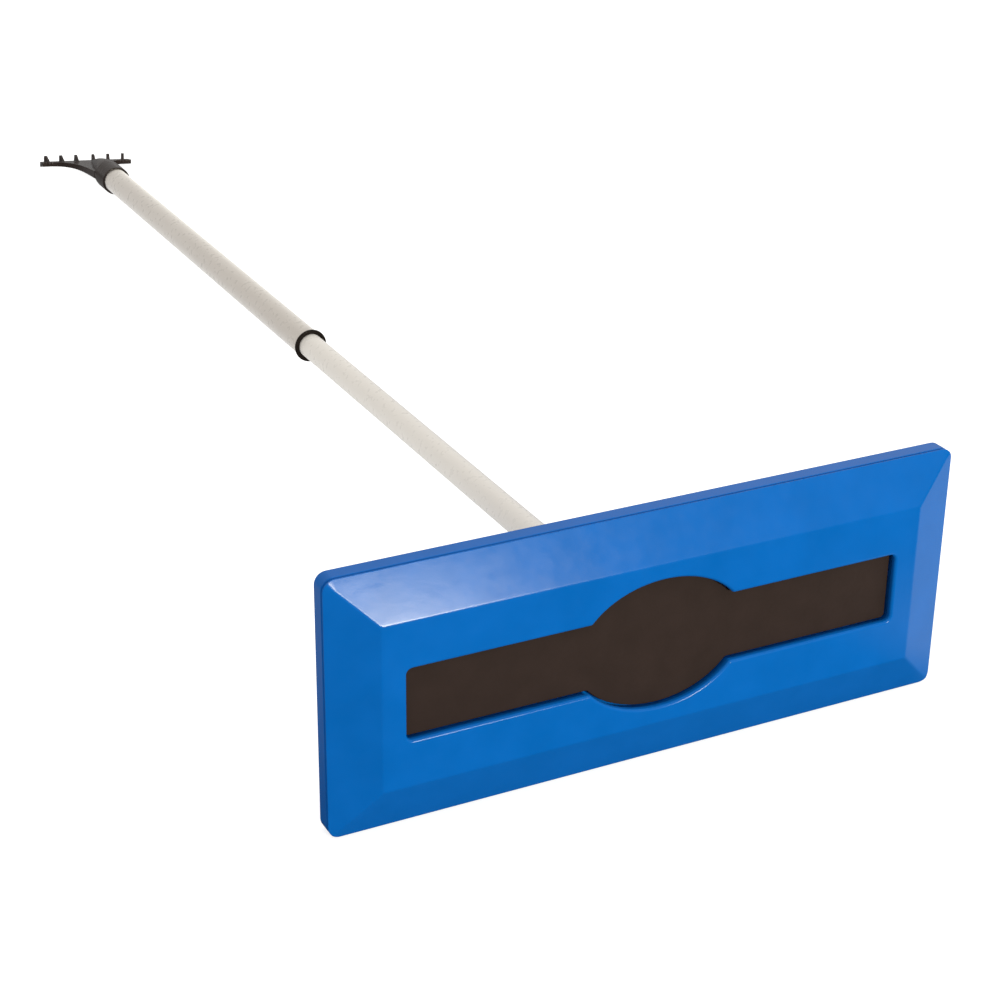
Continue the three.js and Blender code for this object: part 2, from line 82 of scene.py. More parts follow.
# ---------- Sizes, in millimetres ----------

ROUND_SIDES = 96
SMALL_SIDES = 48
ARC_STEPS = 5

head_high = extent("foam_head")[1]
HEAD_HALF_WIDTH = head_high.x
HEAD_HALF_HEIGHT = head_high.z
HEAD_DEPTH = head_high.y

BEVEL_WIDTH = 32.0
BEVEL_DEPTH = 12.6
MITRE_SOFTNESS = 2.0
MITRE_RADIUS = 1.6
PLATEAU_EDGE = 1.0
LIP_RADIUS = 0.4
LIP_END = 13.4
GROOVE_DEPTH = 1.2
GROOVE_END = 15.0
GROOVE_SLANT = 0.2
GROOVE_ROUNDING = 0.3
BAND_CROWN = 1.2
REAR_ROUNDING = 1.8
HEAD_CORNER = 8.0
SIDE_REACH = 6.0  # how far in from the side the rounded side's profile starts and ends
# Rows of points from the plateau to the side: how far in from the bevel's inner edge each lies.
BEVEL_ROWS = (2.6, 1.6, 0.9, 0.4, -0.1, -0.6, -1.2, -2.5, -6, -12, -19)

RECESS_HALF_WIDTH = 180.0
RECESS_HALF_HEIGHT = 25.0
RECESS_CORNER = 4.0
OVAL_HALF_WIDTH = 62.0
OVAL_HALF_HEIGHT = 46.0
OVAL_FILLET = 2.5
RECESS_LIP = 2.2
RECESS_WALL = 3.6  # how deep the wall goes before the undercut at its foot
RECESS_UNDERCUT = 2.4
RECESS_STEP = 0.6  # how much deeper the undercut is at its outer edge
RECESS_FLOOR = 10.3
PLATE_GAP = 0.6
PLATE_EDGE = 0.6
PLATE_RIM = 3.0
PLATE_FRONT = 6.0
PLATE_BACK = 10.0
BOSS_HOLE = 5.2
BOSS_RADIUS = 4.6
PILOT_RADIUS = 2.2
PILOT_END = 11.2

BOLT_X = 38.0
BOLT_Z = 21.0
BOLTS = [(x * BOLT_X, z * BOLT_Z) for x in (-1, 1) for z in (-1, 1)]

GAP = 0.3  # clearance between neighbouring pieces
FLANGE_THICKNESS = 4.0
FLANGE_CORNER = 10.0
SOCKET_ROOT = 16.0
SOCKET_MOUTH = 14.0
SOCKET_BEAD = 5.0
SOCKET_BORE = 10.9
SOCKET_FLOOR = 7.0
GUSSET_SETBACK = 5.0
GUSSET_TOE = 3.0
GUSSET_LENGTH = 44.0
GUSSET_THICKNESS = 4.0
SCREW_HOLE = 2.4
SCREW_SHANK = 1.9
SCREW_HEAD = 4.0
SCREW_HEAD_HEIGHT = 2.7
SCREW_LENGTH = 20.0
SCREW_POINT = 3.0
SCREW_THREAD = 0.35
SCREW_PITCH = 1.5
# A screw's shares: of the shank's radius, of the head's radius, or of its height.
TIP_SHARE = 0.35
CROWN_START = 0.62
CROWN_ROUNDING = 0.3
CROWN_FLAT = 0.6
CROWN_BLEND = 0.4
CROSS_REACH = 0.56
CROSS_WIDTH = 0.11
CROSS_FLOOR = 0.35
CROSS_MOUTH = 0.8
SCREW_TURN = 37  # degrees that each screw's recess is turned against the one before
WASHER_RADIUS = 5.0
WASHER_THICKNESS = 0.8

INNER_TUBE = 10.5
OUTER_TUBE = 12.5
TUBE_WALL = 0.9
BUSHING_FLANGE = 2.0
BUTTON_PLACE = 70.0
BUTTON_RADIUS = 3.8
BUTTON_TOP = 15.6
BUTTON_FOOT = 4.6
BUTTON_FOOT_TOP = 7.8
BUTTON_FOOT_THICKNESS = 1.0
SPRING_THICKNESS = 0.6
CUTTER_REACH = 30.0  # length of the cutters that make round holes from the pole's axis outwards
OVERRUN = 3.0  # how far a cutter runs past the mouth that it opens

SPINDLE_RADIUS = 4.0
THREAD_PITCH = 2.0
THREAD_STARTS = 2
THREAD_DEPTH = 0.35
THREAD_SIDES = 36
THREAD_ROW = 0.25  # between rows of points along the thread
THREAD_RUNOUT = 1.2  # length over which the thread tapers at each end
THREAD_TAPER = 0.6
PLUG_COLLAR = 2.7
SLEEVE_SLIT = 2.4
SLEEVE_THROAT = 4.4
SLEEVE_CLEARANCE = 0.4
SLEEVE_RIBS = 6
SLEEVE_RIB_DEPTH = 0.4
SLEEVE_END = 2.0  # plain length before the first rib and after the last
CONE_START = 5.0
CONE_SLOPE = 4 / 18
CONE_PLAY = 0.45
CONE_FLANGE = 3.0
NUT_CHAMFER = 0.6
NUT_SIDES = 48  # points round the nut, a multiple of six

SCRAPER_SOCKET = 14.8
NOSE_START = 1156.0
NOSE_LENGTH = 60.0
NOSE_FULLNESS = 1.7
NOSE_NARROWING = 0.35
NOSE_STEPS = 24
FLARE_START = 1160.0
FLARE_HOLD = 50  # how far along the pole the flare keeps close to the socket
FLARE_SPREAD = 3  # how far out from the socket it runs before the blade
FLARE_TUCK = 4  # how far past the blade's shoulder it dips
FLARE_STEPS = 28
BLADE_WIDTH = 99.6
BLADE_DEPTH = 13.0
BLADE_TOP = -7.2
BLADE_THICKNESS = 2.8
LIP_DROP = 5.6
LIP_DEPTH = 9.0
LIP_EDGE = 1.2
WEB_RISE = 0.116
UNDERSIDE_RISE = 0.072
RIB_WIDTH = 3.6
RIB_RISE = 0.8
RIB_DROP = 0.8
TOOTH_COUNT = 6
TOOTH_PITCH = 17.0
TOOTH_MIDDLE_PITCH = 19.6
TOOTH_OFFSET = -1.5
TOOTH_THICKNESS = 3.2
TOOTH_HEIGHT = 7.8
TOOTH_LENGTH = 11.0
TOOTH_SETBACK = 4.0
TOOTH_FAN = 0.35  # degrees outwards for each millimetre from the middle
SCRAPER_SCREW_PLACE = 1156.0
SCRAPER_SCREW_HEAD = 3.4
SCRAPER_SCREW_HEIGHT = 2.2
SCRAPER_SCREW_LENGTH = 7.0


# ---------- Outlines and profiles ----------


def rounded(corners, steps=ARC_STEPS):
    """A line through corners (x, y, radius), with each corner that has a radius turned into an arc."""
    points = []
    for index, corner in enumerate(corners):
        here = Vector(corner[:2])
        radius = corner[2] if len(corner) > 2 else 0
        if not radius:
            points.append(here)
            continue
        before = (Vector(corners[index - 1][:2]) - here).normalized()
        after = (Vector(corners[(index + 1) % len(corners)][:2]) - here).normalized()
        half = before.angle(after) / 2
        centre = here + (before + after).normalized() * radius / math.sin(half)
        start = here + before * radius / math.tan(half) - centre
        end = here + after * radius / math.tan(half) - centre
        turn = math.atan2(start.x * end.y - start.y * end.x, start.dot(end))
        points += [centre + Matrix.Rotation(turn * k / steps, 2) @ start for k in range(steps + 1)]
    return points


def arc(centre_x, centre_z, radius_x, radius_z, start, end, steps):
    """Points on a stretch of an ellipse, from one angle to another in degrees."""
    angles = [math.radians(start + (end - start) * k / steps) for k in range(steps + 1)]
    return [(centre_x + radius_x * math.cos(a), centre_z + radius_z * math.sin(a)) for a in angles]


def between(start, end, steps):
    """Points between two points, without the points themselves."""
    return [
        (start[0] + (end[0] - start[0]) * k / steps, start[1] + (end[1] - start[1]) * k / steps)
        for k in range(1, steps)
    ]


def rectangle(half_width, half_height, radius, long_steps=14, short_steps=6, corner_steps=8):
    """A rounded rectangle's outline, anticlockwise from the right-hand end of its lower edge."""
    x, z = half_width - radius, half_height - radius
    points = []
    for centre_x, centre_z, start, steps in (
        (x, -z, -90, short_steps), (x, z, 0, long_steps), (-x, z, 90, short_steps), (-x, -z, 180, long_steps)
    ):
        points += arc(centre_x, centre_z, radius, radius, start, start + 90, corner_steps)
        corner = points[-1]
        turn = math.radians(start + 90)
        reach = 2 * (z if steps == short_steps else x)
        far = (corner[0] - reach * math.sin(turn), corner[1] + reach * math.cos(turn))
        points += between(corner, far, steps)
    return points


def fillet_place(half_width, half_height, level, radius):
    """The oval's angle and the fillet's centre where a fillet rolls between the oval and a straight edge."""

    def centre(angle):
        """The fillet's centre when it touches the oval at an angle."""
        x, z = half_width * math.cos(angle), half_height * math.sin(angle)
        normal = Vector((half_height * math.cos(angle), half_width * math.sin(angle))).normalized()
        return x + radius * normal.x, z + radius * normal.y

    low, high = 0.0, math.pi / 2
    for _ in range(40):
        middle = (low + high) / 2
        if centre(middle)[1] < level + radius:
            low = middle
        else:
            high = middle
    return low, centre(low)


def bar_with_oval(margin):
    """A long bar with an oval middle, shrunk by a margin: a quarter of it, mirrored three times."""
    half_width = RECESS_HALF_WIDTH - margin
    half_height = RECESS_HALF_HEIGHT - margin
    oval_width = OVAL_HALF_WIDTH - margin
    oval_height = OVAL_HALF_HEIGHT - margin
    corner = max(0.3, RECESS_CORNER - margin)
    fillet = OVAL_FILLET + margin
    angle, (fillet_x, fillet_z) = fillet_place(oval_width, oval_height, half_height, fillet)
    touch = (oval_width * math.cos(angle), oval_height * math.sin(angle))
    reach = math.degrees(math.atan2(touch[1] - fillet_z, touch[0] - fillet_x)) % 360
    quarter = arc(half_width - corner, half_height - corner, corner, corner, 0, 90, 6)
    quarter += between(quarter[-1], (fillet_x, half_height), 10)
    quarter += arc(fillet_x, fillet_z, fillet, fillet, 270, reach, 6)
    quarter += arc(0, 0, oval_width, oval_height, math.degrees(angle), 90, 20)[1:]
    left = [(-x, z) for x, z in reversed(quarter[:-1])]
    top = quarter + left
    return top + [(-x, -z) for x, z in top]


def rod(radius, start, end):
    """The profile of a plain cylinder."""
    return [(0, start), (radius, start), (radius, end), (0, end)]


def circle(centre_x, centre_z, radius, sides=SMALL_SIDES):
    """A circle's outline, without its first point again at the end."""
    return arc(centre_x, centre_z, radius, radius, 0, 360, sides)[:-1]


# ---------- Mesh building ----------


def add_ring(bm, outline, depths):
    """A closed ring of vertices: an (x, z) outline at one depth y, or at a depth for each point."""
    if not isinstance(depths, list):
        depths = [depths] * len(outline)
    return [bm.verts.new((x, y, z)) for (x, z), y in zip(outline, depths)]


def bridge(bm, first, second):
    """Quads between two rings of the same length."""
    count = len(first)
    for k in range(count):
        after = (k + 1) % count
        bm.faces.new((first[k], first[after], second[after], second[k]))


def loft(bm, rings):
    """Quads from each ring to the next."""
    for first, second in zip(rings, rings[1:]):
        bridge(bm, first, second)


def fill(bm, *rings):
    """A flat face inside the first ring and outside the others."""
    edges = []
    for ring in rings:
        for k, vertex in enumerate(ring):
            after = ring[(k + 1) % len(ring)]
            edges.append(bm.edges.get((vertex, after)) or bm.edges.new((vertex, after)))
    bmesh.ops.triangle_fill(bm, use_beauty=True, use_dissolve=False, edges=edges)


def add_turned(bm, profile, sides=ROUND_SIDES, place=None):
    """A profile of (radius, y) points turned about the Y axis. It starts and ends on the axis or closes."""
    place = place or Matrix()
    rings = []
    for radius, y in profile:
        if radius < 1e-6:
            rings.append([bm.verts.new(place @ Vector((0, y, 0)))])
            continue
        turns = [2 * math.pi * k / sides for k in range(sides)]
        points = [Vector((radius * math.cos(turn), y, radius * math.sin(turn))) for turn in turns]
        rings.append([bm.verts.new(place @ point) for point in points])
    if len(rings[0]) > 1:
        rings.append(rings[0])
    for first, second in zip(rings, rings[1:]):
        for k in range(sides):
            after = (k + 1) % sides
            if len(first) == 1:
                bm.faces.new((first[0], second[after], second[k]))
            elif len(second) == 1:
                bm.faces.new((first[k], first[after], second[0]))
            else:
                bm.faces.new((first[k], first[after], second[after], second[k]))


def add_prism(bm, outline, low, high, place=None):
    """A flat outline of (x, y) points made solid between two heights z, then placed."""
    place = place or Matrix()
    bottom = [bm.verts.new(place @ Vector((x, y, low))) for x, y in outline]
    top = [bm.verts.new(place @ Vector((x, y, high))) for x, y in outline]
    bm.faces.new(bottom)
    bm.faces.new(top)
    bridge(bm, bottom, top)


def add_object(name, data):
    """An object of a mesh, a camera or a light, in the scene."""
    made = bpy.data.objects.new(name, data)
    bpy.context.scene.collection.objects.link(made)
    return made


def to_object(name, bm, place=TO_ROW):
    """A mesh object in the row frame, made of what a bmesh holds in the tool's frame, right side out."""
    bmesh.ops.recalc_face_normals(bm, faces=bm.faces)
    bm.transform(place)
    if bm.calc_volume(signed=True) < 0:
        bmesh.ops.reverse_faces(bm, faces=bm.faces)
    mesh = bpy.data.meshes.new(name)
    bm.to_mesh(mesh)
    bm.free()
    return add_object(name, mesh)


def turned(name, profile, place=TO_ROW, sides=ROUND_SIDES, stand=None):
    """An object of one turned profile, which may stand anywhere in its frame."""
    bm = bmesh.new()
    add_turned(bm, profile, sides, stand)
    return to_object(name, bm, place)


def apply_modifiers(made):
    """Puts an object's modifiers into its mesh."""
    bpy.context.view_layer.update()
    evaluated = made.evaluated_get(bpy.context.evaluated_depsgraph_get())
    old = made.data
    made.data = bpy.data.meshes.new_from_object(evaluated)
    made.data.name = made.name
    made.modifiers.clear()
    bpy.data.meshes.remove(old)


def cut(made, *tools):
    """Cuts tools out of a mesh. Each is one solid that doesn't cross itself, or nothing may be left."""
    for tool in tools:
        modifier = made.modifiers.new("cut", "BOOLEAN")
        modifier.operation = "DIFFERENCE"
        modifier.solver = "EXACT"
        modifier.object = tool
    apply_modifiers(made)
    if not made.data.polygons:
        raise RuntimeError(f"nothing is left of {made.name}")
    for tool in tools:
        bpy.data.objects.remove(tool)


def soften(made, voxel, rounds, keep=1.0):
    """Joins a mesh's overlapping shells into one skin with small fillets, as a moulding has."""
    remesh = made.modifiers.new("skin", "REMESH")
    remesh.mode = "VOXEL"
    remesh.voxel_size = voxel * MM
    smooth = made.modifiers.new("fillets", "SMOOTH")
    smooth.factor = 0.5
    smooth.iterations = rounds
    if keep < 1:
        reduce = made.modifiers.new("fewer", "DECIMATE")
        reduce.ratio = keep
    apply_modifiers(made)


def finish_piece(made, material, body, nodes, sharp=35):
    """Smooth shading with true flats, the finish, the body that a piece moves with, and the CAD nodes it
    replaces hidden.
    """
    made.data.materials.clear()
    made.data.materials.append(material)
    made.data.shade_smooth()
    made.data.set_sharp_from_angle(angle=math.radians(sharp))
    flats = made.modifiers.new("flats", "WEIGHTED_NORMAL")
    flats.keep_sharp = True
    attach(made, body)
    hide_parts(*nodes)
    return made


# ---------- Finishes ----------


def new_material(name, base, roughness, metallic=0.0, **sockets):
    """A material with a Principled shader, and the tree, shader and object coordinates to build on."""
    material = bpy.data.materials.new(name)
    material.use_nodes = True
    tree = material.node_tree
    shader = tree.nodes["Principled BSDF"]
    shader.inputs["Base Color"].default_value = (*base, 1)
    shader.inputs["Roughness"].default_value = roughness
    shader.inputs["Metallic"].default_value = metallic
    for socket, value in sockets.items():
        shader.inputs[socket.replace("_", " ")].default_value = value
    place = tree.nodes.new("ShaderNodeTexCoord").outputs["Object"]
    return material, tree, shader, place


def plug(tree, shader, **sockets):
    """Links what was made to a shader's sockets."""
    for socket, value in sockets.items():
        tree.links.new(value, shader.inputs[socket.replace("_", " ")])


def noise(tree, place, size, detail=2.0, stretch=(1, 1, 1)):
    """A noise whose lumps are about size millimetres across."""
    mapping = tree.nodes.new("ShaderNodeMapping")
    mapping.inputs["Scale"].default_value = stretch
    tree.links.new(place, mapping.inputs["Vector"])
    texture = tree.nodes.new("ShaderNodeTexNoise")
    texture.inputs["Scale"].default_value = 1 / (size * MM)
    texture.inputs["Detail"].default_value = detail
    tree.links.new(mapping.outputs["Vector"], texture.inputs["Vector"])
    return texture.outputs["Fac"]


def spread(tree, value, low, high, start=0.3, end=0.7):
    """A value that runs from low to high as another goes from start to end."""
    ranged = tree.nodes.new("ShaderNodeMapRange")
    ranged.inputs["From Min"].default_value = start
    ranged.inputs["From Max"].default_value = end
    ranged.inputs["To Min"].default_value = low
    ranged.inputs["To Max"].default_value = high
    tree.links.new(value, ranged.inputs["Value"])
    return ranged.outputs["Result"]


def tint(tree, value, dark, light):
    """A colour between two others, picked by a value."""
    mix = tree.nodes.new("ShaderNodeMix")
    mix.data_type = "RGBA"
    tree.links.new(value, mix.inputs["Factor"])
    mix.inputs[6].default_value = (*dark, 1)
    mix.inputs[7].default_value = (*light, 1)
    return mix.outputs[2]


def clouds(tree, place, size, detail, dark, light, stretch=(1, 1, 1)):
    """A colour that drifts between two others."""
    return tint(tree, spread(tree, noise(tree, place, size, detail, stretch), 0, 1), dark, light)


def bump(tree, height, depth, before=None):
    """Bumps of a depth in millimetres, laid over the bumps before them."""
    node = tree.nodes.new("ShaderNodeBump")
    node.inputs["Strength"].default_value = 1.0
    node.inputs["Distance"].default_value = depth * MM
    tree.links.new(height, node.inputs["Height"])
    if before:
        tree.links.new(before, node.inputs["Normal"])
    return node.outputs["Normal"]


def foam_skin():
    """Closed-cell foam with a moulded skin: satin, faintly cloudy, with a fine pebble."""
    material, tree, shader, place = new_material(
        "foam_skin", (0.001, 0.13, 0.5), 0.25, Specular_IOR_Level=0.2)
    blue = clouds(tree, place, 30, 3, (0.0, 0.105, 0.412), (0.001, 0.115, 0.45))
    patches = spread(tree, noise(tree, place, 9, 4), 0.17, 0.21)
    swell = bump(tree, noise(tree, place, 14, 3), 0.05)
    pebble = bump(tree, noise(tree, place, 0.7, 2), 0.01, swell)
    plug(tree, shader, Base_Color=blue, Roughness=patches, Normal=pebble)
    return material


def dark_plate():
    """Brown-black sheet plastic with a fine matte grain."""
    material, tree, shader, place = new_material(
        "dark_plate", (0.038, 0.024, 0.021), 0.6, Specular_IOR_Level=0.12)
    brown = clouds(tree, place, 22, 4, (0.0245, 0.0152, 0.013), (0.029, 0.018, 0.0157))
    plug(tree, shader, Base_Color=brown)
    plug(tree, shader, Roughness=spread(tree, noise(tree, place, 3, 3), 0.52, 0.66))
    plug(tree, shader, Normal=bump(tree, noise(tree, place, 0.45, 3), 0.014))
    return material


def black_plastic(name, dark, light, specular, low, high):
    """Moulded black plastic with a light spark-eroded texture."""
    material, tree, shader, place = new_material(name, dark, low, Specular_IOR_Level=specular)
    plug(tree, shader, Base_Color=clouds(tree, place, 12, 4, dark, light))
    plug(tree, shader, Roughness=spread(tree, noise(tree, place, 4, 3), low, high))
    plug(tree, shader, Normal=bump(tree, noise(tree, place, 0.5, 3), 0.005))
    return material


def white_coat(name, dark, light, sheen):
    """Off-white powder coat on aluminium tube: a soft sheen over a little orange peel."""
    material, tree, shader, place = new_material(
        name, light, 0.3, Sheen_Weight=sheen, Sheen_Roughness=0.4)
    plug(tree, shader, Base_Color=clouds(tree, place, 40, 3, dark, light, (1, 0.2, 1)))
    plug(tree, shader, Roughness=spread(tree, noise(tree, place, 5, 3), 0.26, 0.32))
    plug(tree, shader, Normal=bump(tree, noise(tree, place, 6, 1), 0.0008))
    return material


def metal(name, base, low, high):
    """Plated or spring steel with faint drawing marks."""
    material, tree, shader, place = new_material(name, base, low, 1.0)
    dark = tuple(0.85 * part for part in base)
    marks = noise(tree, place, 0.8, 4, (1, 0.1, 1))
    plug(tree, shader, Base_Color=tint(tree, spread(tree, marks, 0, 1), dark, base))
    plug(tree, shader, Roughness=spread(tree, marks, low, high))
    plug(tree, shader, Normal=bump(tree, marks, 0.006))
    return material


def pale_nylon():
    """Natural nylon, slightly see-through at its edges."""
    material, tree, shader, place = new_material("pale_nylon", (0.7, 0.66, 0.55), 0.45)
    plug(tree, shader, Base_Color=clouds(tree, place, 6, 3, (0.66, 0.62, 0.5), (0.74, 0.7, 0.6)))
    plug(tree, shader, Normal=bump(tree, noise(tree, place, 0.8, 2), 0.01))
    shader.inputs["Subsurface Weight"].default_value = 0.2
    shader.inputs["Subsurface Radius"].default_value = (0.002, 0.002, 0.001)
    return material


FOAM = foam_skin()
PLATE = dark_plate()
BLACK = black_plastic("black_plastic", (0.017, 0.0095, 0.007), (0.023, 0.0135, 0.0105), 0.4, 0.24, 0.32)
JET = black_plastic("jet_plastic", (0.008, 0.0045, 0.002), (0.012, 0.007, 0.004), 0.2, 0.3, 0.38)
INNER_COAT = white_coat("inner_coat", (0.77, 0.73, 0.665), (0.79, 0.75, 0.685), 0.6)
OUTER_COAT = white_coat("outer_coat", (0.525, 0.478, 0.42), (0.545, 0.498, 0.44), 1.0)
ZINC = metal("zinc_steel", (0.55, 0.56, 0.57), 0.25, 0.42)
SPRING = metal("spring_steel", (0.3, 0.31, 0.33), 0.22, 0.38)
NYLON = pale_nylon()


# ---------- Head ----------


def slope_depth(x, z):
    """Depth of the head's front surface: a flat plateau, and bevels that meet in soft mitres."""
    from_side = HEAD_HALF_WIDTH - abs(x)
    from_end = HEAD_HALF_HEIGHT - abs(z)
    mitre = max(0, 1 - abs(from_side - from_end) / MITRE_SOFTNESS)
    inset = min(from_side, from_end) - MITRE_SOFTNESS * mitre * mitre / 4
    down = BEVEL_WIDTH - inset
    if down <= -PLATEAU_EDGE:
        return 0.0
    if down < PLATEAU_EDGE:
        down = (down + PLATEAU_EDGE) ** 2 / (4 * PLATEAU_EDGE)
    return BEVEL_DEPTH * down / BEVEL_WIDTH


def foam_head():
    """One moulded block: front, bevels, grooved side, back, recess and the holes for the plate's bosses."""
    bm = bmesh.new()
    slope = BEVEL_DEPTH / BEVEL_WIDTH
    rings = []
    for row in BEVEL_ROWS:
        inset = BEVEL_WIDTH + row
        radius = max(MITRE_RADIUS, HEAD_CORNER - inset)
        outline = rectangle(HEAD_HALF_WIDTH - inset, HEAD_HALF_HEIGHT - inset, radius)
        depths = [0.0 if row == BEVEL_ROWS[0] else slope_depth(x, z) for x, z in outline]
        rings.append(add_ring(bm, outline, depths))
    side = rounded([
        (SIDE_REACH, slope * (BEVEL_WIDTH - SIDE_REACH)),
        (0, BEVEL_DEPTH, LIP_RADIUS),
        (0, LIP_END, GROOVE_SLANT),
        (GROOVE_DEPTH, LIP_END + GROOVE_SLANT, GROOVE_ROUNDING),
        (GROOVE_DEPTH, GROOVE_END - GROOVE_SLANT, GROOVE_ROUNDING),
        (0, GROOVE_END, BAND_CROWN),
        (0, HEAD_DEPTH, REAR_ROUNDING),
        (SIDE_REACH, HEAD_DEPTH)])
    for inset, depth in side:
        radius = max(MITRE_RADIUS, HEAD_CORNER - inset)
        outline = rectangle(HEAD_HALF_WIDTH - inset, HEAD_HALF_HEIGHT - inset, radius)
        dip = min(1, max(0, (LIP_END - depth) / (LIP_END - BEVEL_DEPTH)))
        straight = slope * (BEVEL_WIDTH - inset)
        depths = [depth + dip * (slope_depth(x, z) - straight) for x, z in outline]
        rings.append(add_ring(bm, outline, depths))
    loft(bm, rings)

    lip = [math.radians(90 * k / ARC_STEPS) for k in range(ARC_STEPS + 1)]
    recess = [
        add_ring(bm, bar_with_oval(RECESS_LIP * (math.sin(turn) - 1)), RECESS_LIP * (1 - math.cos(turn)))
        for turn in lip
    ]
    for margin, depth in (
        (0, RECESS_WALL),
        (-RECESS_UNDERCUT, RECESS_WALL + RECESS_STEP),
        (-RECESS_UNDERCUT, RECESS_FLOOR)
    ):
        recess.append(add_ring(bm, bar_with_oval(margin), depth))
    loft(bm, recess)
    fill(bm, rings[0], recess[0])

    inner = [add_ring(bm, circle(x, z, BOSS_HOLE), RECESS_FLOOR) for x, z in BOLTS]
    outer = [add_ring(bm, circle(x, z, BOSS_HOLE), HEAD_DEPTH) for x, z in BOLTS]
    for first, second in zip(inner, outer):
        bridge(bm, first, second)
    fill(bm, recess[-1], *inner)
    fill(bm, rings[-1], *outer)
    made = finish_piece(to_object("foam_block", bm), FOAM, "head", ["foam_head"])
    return made


def stiffener_plate():
    """The plate in the recess, with four bosses behind it for the socket's screws."""
    bm = bmesh.new()
    boss_end = extent("insert_plate")[1].y
    profile = rounded([
        (PLATE_GAP + PLATE_RIM, PLATE_FRONT),
        (PLATE_GAP, PLATE_FRONT, PLATE_EDGE),
        (PLATE_GAP, PLATE_BACK, 0.3),
        (PLATE_GAP + PLATE_RIM, PLATE_BACK)])
    rings = [add_ring(bm, bar_with_oval(margin), depth) for margin, depth in profile]
    loft(bm, rings)
    fill(bm, rings[0])
    roots = []
    for x, z in BOLTS:
        boss = rounded([
            (BOSS_RADIUS, PLATE_BACK), (BOSS_RADIUS, boss_end, 0.4), (PILOT_RADIUS, boss_end, 0.3),
            (PILOT_RADIUS, PILOT_END)])
        walls = [add_ring(bm, circle(x, z, radius), depth) for radius, depth in boss]
        loft(bm, walls)
        fill(bm, walls[-1])
        roots.append(walls[0])
    fill(bm, rings[-1], *roots)
    return finish_piece(to_object("stiffener_plate", bm), PLATE, "head", ["insert_plate"])


# ---------- Screws and washers ----------

UPRIGHT = Matrix.Rotation(math.radians(90), 4, "X")  # turns what lies along the pole to point up
DOWNWARD = Matrix.Rotation(math.radians(-90), 4, "X")
BUTTON_STAND = Matrix.Translation((0, BUTTON_PLACE, 0)) @ UPRIGHT
SCRAPER_SCREW_STAND = Matrix.Translation((0, SCRAPER_SCREW_PLACE, 0)) @ DOWNWARD
ACROSS = Matrix(((0, 0, 1, 0), (1, 0, 0, 0), (0, 1, 0, 0), (0, 0, 0, 1)))  # an outline drawn as (y, z)


def pan_screw(name, place, head, shank, length, body, node):
    """A cross-recessed pan screw whose head seats at y = 0. The head and the shank are (radius, length)."""
    head_radius, head_height = head
    shank_radius, thread = shank
    profile = [(0, -length), (shank_radius * TIP_SHARE, -length + 0.3)]
    y = -length + SCREW_POINT
    while y < -thread:
        profile += [(shank_radius, y), (shank_radius - SCREW_THREAD, y + thread / 2)]
        y += thread
    profile += rounded([
        (shank_radius - SCREW_THREAD, 0),
        (head_radius, 0, 0.25),
        (head_radius, head_height * CROWN_START, head_radius * CROWN_ROUNDING),
        (head_radius * CROWN_FLAT, head_height, head_radius * CROWN_BLEND),
        (0, head_height)])
    made = turned(name, profile, place, SMALL_SIDES)
    wing = head_radius * CROSS_REACH
    slot = head_radius * CROSS_WIDTH
    deep = head_height * CROSS_FLOOR
    mouth = head_height * CROSS_MOUTH
    arms = []
    for turn in (0, 90):
        spin = Matrix.Rotation(math.radians(turn), 4, "Y") @ ACROSS
        outline = [
            (head_height + 0.5, -wing), (head_height + 0.5, wing), (mouth, wing),
            (deep, slot), (deep, -slot), (mouth, -wing)]
        bm = bmesh.new()
        add_prism(bm, outline, -slot, slot, spin)
        arms.append(to_object(f"arm_{turn}", bm, place))
    cut(made, *arms)
    return finish_piece(made, ZINC, body, [node], sharp=40)


def flat_washer(name, place, radius, bore, thickness, body, node):
    """A punched washer: its upper edge is rolled over, its lower edge is sharp."""
    profile = rounded([(bore, 0), (radius, 0, 0.1), (radius, thickness, 0.3), (bore, thickness, 0.15)])
    return finish_piece(turned(name, profile, place, SMALL_SIDES), ZINC, body, [node])


# ---------- Socket on the head's back ----------


